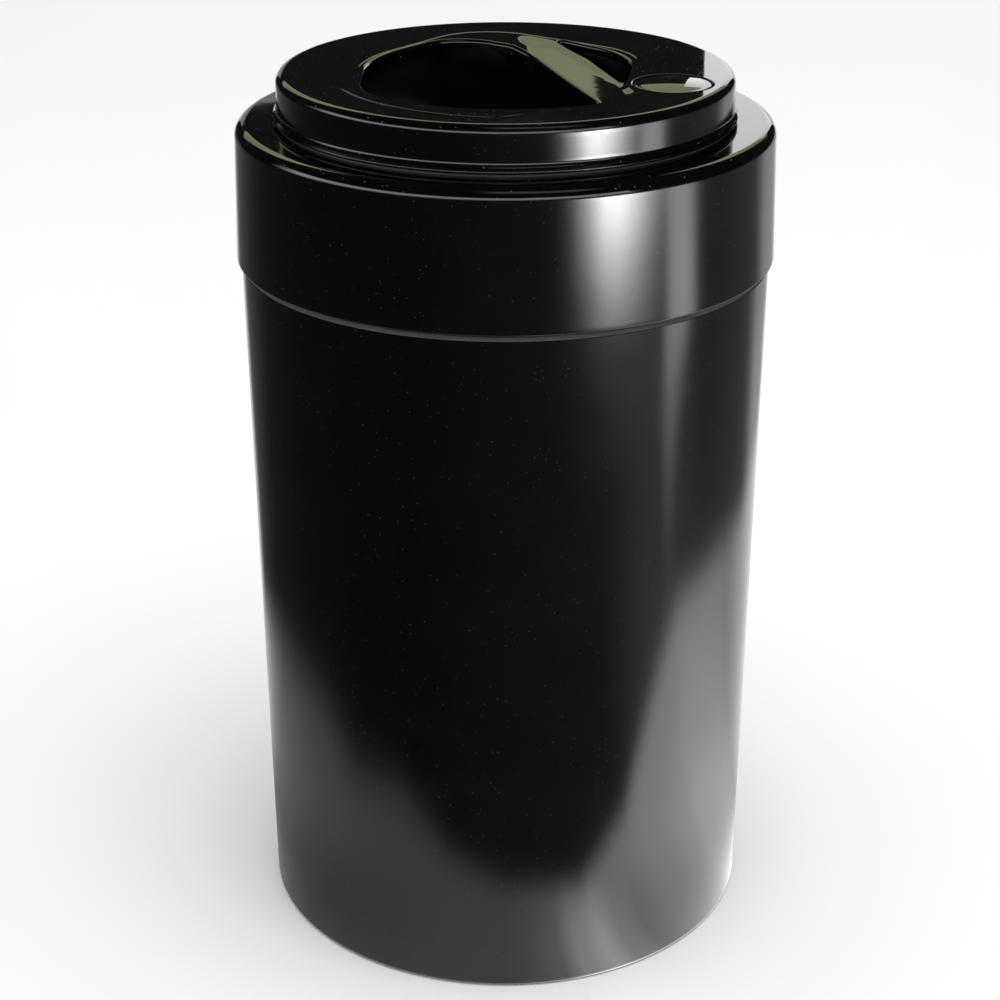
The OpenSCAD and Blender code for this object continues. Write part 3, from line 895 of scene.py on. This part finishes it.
# Graphs of the surroundings. NEAR and FAR run over the turn in degrees round the object: how far out, in
# metres, the bright near floor reaches, its brightness, its share at the object's foot, and the brightness
# beyond. WINDOW_ACROSS and WINDOW_OUT shape the bright window by turn and by distance.
NEAR_EDGE = [(-180, 1.9), (-165, 1.9), (-150, 0.6), (-140, 0.3), (-80, 0.27), (-60, 0.23), (-40, 0.23),
             (-20, 0.19), (0, 0.17), (25, 0.165), (45, 0.21), (60, 0.3), (75, 0.39), (100, 0.42),
             (125, 0.45), (150, 0.55), (159, 0.8), (164, 1.9), (180, 1.9)]
NEAR_LEVEL = [(-180, 1.0), (-150, 0.9), (-110, 0.5), (-60, 0.75), (0, 1.0), (22, 1.6), (40, 3.0), (52, 3.4),
              (80, 3.2), (110, 1.2), (180, 1.1)]
FOOT_LEVEL = [(-180, 0.9), (-150, 0.8), (-120, 0.45), (-60, 0.55), (-20, 1), (5, 1.05), (15, 1.4),
              (20, 2.6), (28, 2.6), (34, 1.3), (42, 0.7), (80, 0.62), (110, 0.6), (180, 0.8)]
FAR_LEVEL = [(-180, 0.3), (-120, 0.05), (-40, 0.035), (0, 0.085), (40, 0.11), (60, 0.5), (90, 0.2),
             (125, 0.2), (131, 0.5), (136, 0.8), (147, 0.6), (157, 0.5), (166, 0.9), (180, 0.9)]
NEAR_FADE = [(-180, 0.12), (-110, 0.30), (-60, 0.2), (0, 0.12), (180, 0.12)]
SIDE_END = [(0.3, 73), (0.7, 76), (0.9, 83)]
SIDE_LEVEL = 4.5
WINDOW_ACROSS = [(20, 0), (26, 0.03), (33, 0.33), (40, 1), (46, 1), (53, 0.6), (58, 0.3), (63, 0.12), (70, 0)]
WINDOW_OUT = [(0.66, 0), (0.8, 0.15), (1.0, 1.0), (1.08, 2.2), (1.15, 4.4), (1.28, 8.5), (1.38, 16),
              (1.41, 34)]


def graph(points, x):
    """Straight-line graph through (x, value) points."""
    px, py = zip(*points)
    return np.interp(x, px, py)


def floor_glow(turn, r):
    """Brightness of the surroundings at floor level; turn 0 is the front, 90 the right, in degrees."""
    edge = graph(NEAR_EDGE, turn)
    foot = graph(FOOT_LEVEL, turn)
    near = graph(NEAR_LEVEL, turn) * (foot + (1 - foot) * step(r, 0.118, 0.20))
    far = graph(FAR_LEVEL, turn)
    fade = graph(NEAR_FADE, turn)
    level = far + (near - far) * (1 - step(r, edge * (1 - fade * 0.6), edge * (1 + fade)))
    window = graph(WINDOW_ACROSS, turn) * graph(WINDOW_OUT, r)
    side_end = graph(SIDE_END, r)
    side = step(turn, 66, 70) * (1 - step(turn, side_end - 6, side_end + 2)) * step(r, 0.35, 1.1)
    return level + window + SIDE_LEVEL * side


def make_surroundings():
    radii = np.geomspace(0.1, 4.0, 150)
    turns = np.linspace(-180, 180, 361)[:-1]
    verts, levels, faces = [], [], []
    for r in radii:
        a = np.radians(turns)
        verts += list(zip(r * np.sin(a), -r * np.cos(a), np.full(len(a), 0.0006)))
        levels += list(floor_glow(turns, r))
    count = len(turns)
    for j in range(len(radii) - 1):
        for i in range(count):
            n = (i + 1) % count
            faces.append((j * count + i, j * count + n, (j + 1) * count + n, (j + 1) * count + i))
    obj = new_object("surroundings", verts, faces, glow_material("surroundings"))
    paint(obj, levels)
    only_glossy(obj)


def soft(s, t, edge):
    """Fades a card towards its four sides."""
    return step(1 - np.abs(s), 0, edge) * step(1 - np.abs(t), 0, edge)


def area_light(name, place, size, power):
    """A round soft light that faces the origin."""
    data = bpy.data.lights.new(name, "AREA")
    data.shape = "DISK"
    data.size = size
    data.energy = power
    obj = bpy.data.objects.new(name, data)
    obj.location = place
    obj.rotation_euler = (-Vector(place)).to_track_quat("-Z", "Y").to_euler()
    obj.visible_glossy = False
    scene.collection.objects.link(obj)


def make_world():
    """Pale studio light for everything but reflections, which see it almost dark."""
    world = bpy.data.worlds.new("studio")
    world.use_nodes = True
    tree = world.node_tree
    tree.nodes.clear()
    out = tree.nodes.new("ShaderNodeOutputWorld")
    pale, dark = tree.nodes.new("ShaderNodeBackground"), tree.nodes.new("ShaderNodeBackground")
    for sky, strength in ((pale, 0.95), (dark, 0.017)):
        sky.inputs["Color"].default_value = (1, 1, 1, 1)
        sky.inputs["Strength"].default_value = strength
    path = tree.nodes.new("ShaderNodeLightPath")
    mix = tree.nodes.new("ShaderNodeMixShader")
    tree.links.new(path.outputs["Is Glossy Ray"], mix.inputs["Fac"])
    tree.links.new(pale.outputs[0], mix.inputs[1])
    tree.links.new(dark.outputs[0], mix.inputs[2])
    tree.links.new(mix.outputs[0], out.inputs["Surface"])
    scene.world = world


make_world()
make_floor()
make_surroundings()
card("panel_right_back", (0.2315, 0.62, 0.29), (0.0985, 0, 0), (0, 0, 0.29),
     lambda s, t: 1.0 + 1.05 * step(t, 0.3, 0.45))
card("panel_left_back", (-0.2235, 0.62, 0.244), (0.0765, 0, 0), (0, 0, 0.244),
     lambda s, t: 0.9 - 0.4 * step(t, 0.4, 0.7))
card("band_back", (-0.05, 1.3, 1.13), (0.85, 0, 0), (0, 0, 0.40),
     lambda s, t: (0.75 + 0.8 * step(t, -0.7, 0.5)) * step(1 - np.abs(s), 0, 0.2) * step(1 - t, 0, 0.3),
     tint=(0.90, 1.0, 0.62))
card("front_fill", (0, 0, 0.95), (2.0, -112, 52), (0, 0, 0.42),
     lambda s, t: 3.6 * step(s, -1, -0.75) * step(1 - np.abs(t), 0, 0.6), bent=True)
card("overhead_front", (0.25, -0.45, 1.7), (0.5, 0, 0), (0, 0.3, 0), lambda s, t: 0.8 * soft(s, t, 0.5))
area_light("key", (0.5, -0.7, 2.4), 1.8, 22)
scene.view_settings.view_transform = "Standard"
